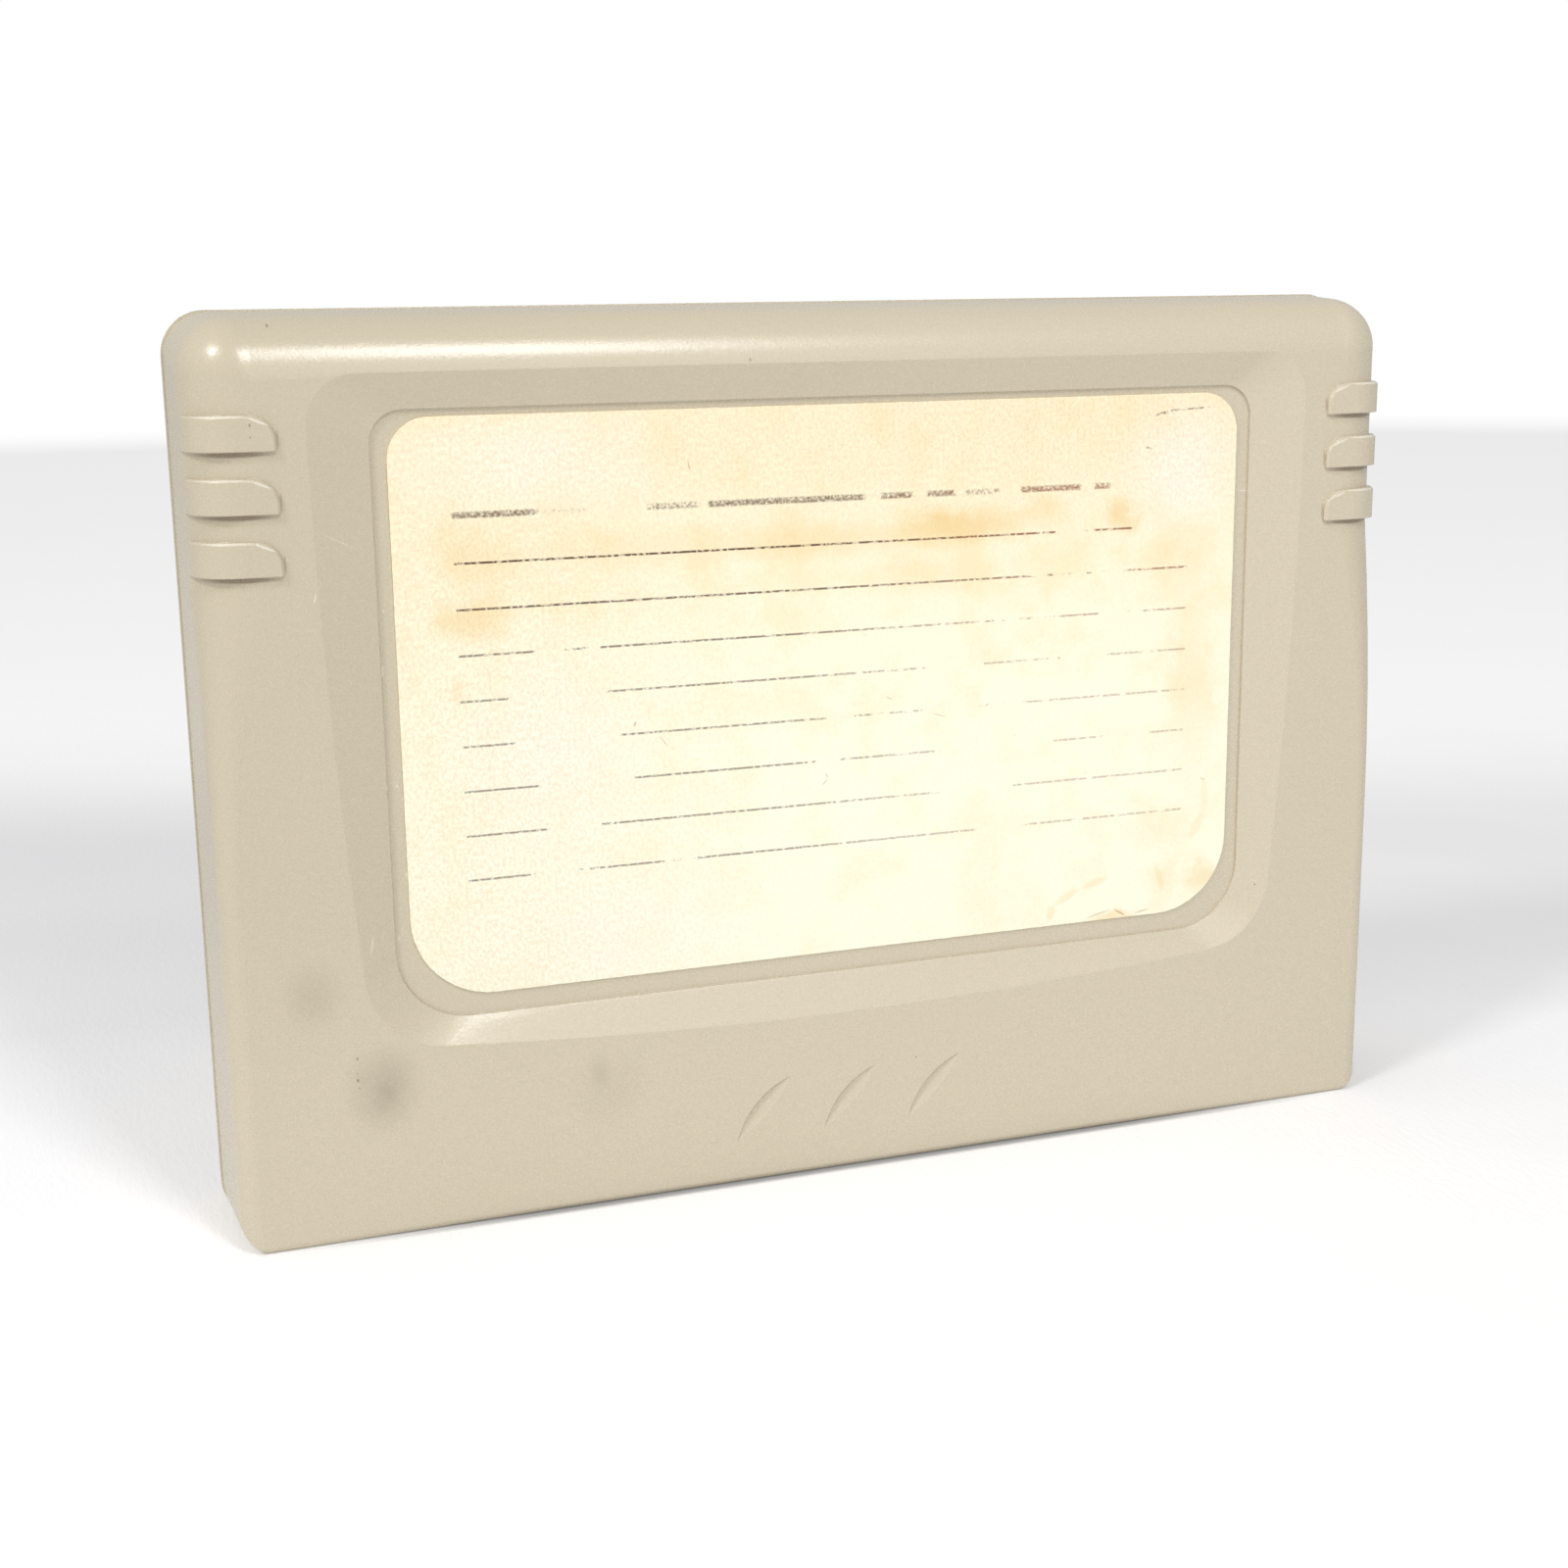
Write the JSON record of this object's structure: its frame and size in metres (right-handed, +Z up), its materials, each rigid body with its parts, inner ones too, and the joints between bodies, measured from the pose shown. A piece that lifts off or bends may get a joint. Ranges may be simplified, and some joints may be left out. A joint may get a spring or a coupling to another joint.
{
  "type": "console memory card",
  "caption": "Flat moulded plug-in memory card: label in a bevelled frame, grip ribs on both sides, leaf-shaped marks, and an edge connector recessed in a mouth below.",
  "frame": {"origin": "middle of the underside of the connector edge, halfway through the card's thickness", "axes": "+Z up from the connector edge to the top, -Y out of the labelled face, +X to the right as seen from the front"},
  "size_m": [0.1102, 0.0164, 0.0775],
  "materials": {
    "housing": "moulded plastic with a fine even texture, greyed and a little dirty",
    "label_paper": "aged coated paper with ruled lines, stained brown",
    "screw_steel": "zinc-plated steel",
    "board": "green solder mask over glass-filled resin",
    "contact_plating": "gold-plated copper",
    "lead_plating": "tinned metal",
    "chip_moulding": "black epoxy moulding",
    "bulk_moulding": "yellow epoxy moulding",
    "ceramic": "bare brown ceramic"
  },
  "bodies": {
    "root": {"front_shell": "housing", "rear_shell": "housing", "label": "label_paper", "case_screws": "screw_steel", "circuit_board": "board", "front_contacts": "contact_plating", "rear_contacts": "contact_plating", "memory_chip": "chip_moulding", "memory_chip_leads": "lead_plating", "controller_chip": "chip_moulding", "controller_chip_leads": "lead_plating", "logic_chips": "chip_moulding", "logic_chip_leads": "lead_plating", "voltage_detector": "chip_moulding", "voltage_detector_leads": "lead_plating", "bulk_capacitor": "bulk_moulding", "bulk_capacitor_terminals": "lead_plating", "ceramic_capacitors": "ceramic", "ceramic_capacitor_ends": "lead_plating", "chip_resistors": "chip_moulding", "chip_resistor_ends": "lead_plating"}
  },
  "joints": []
}
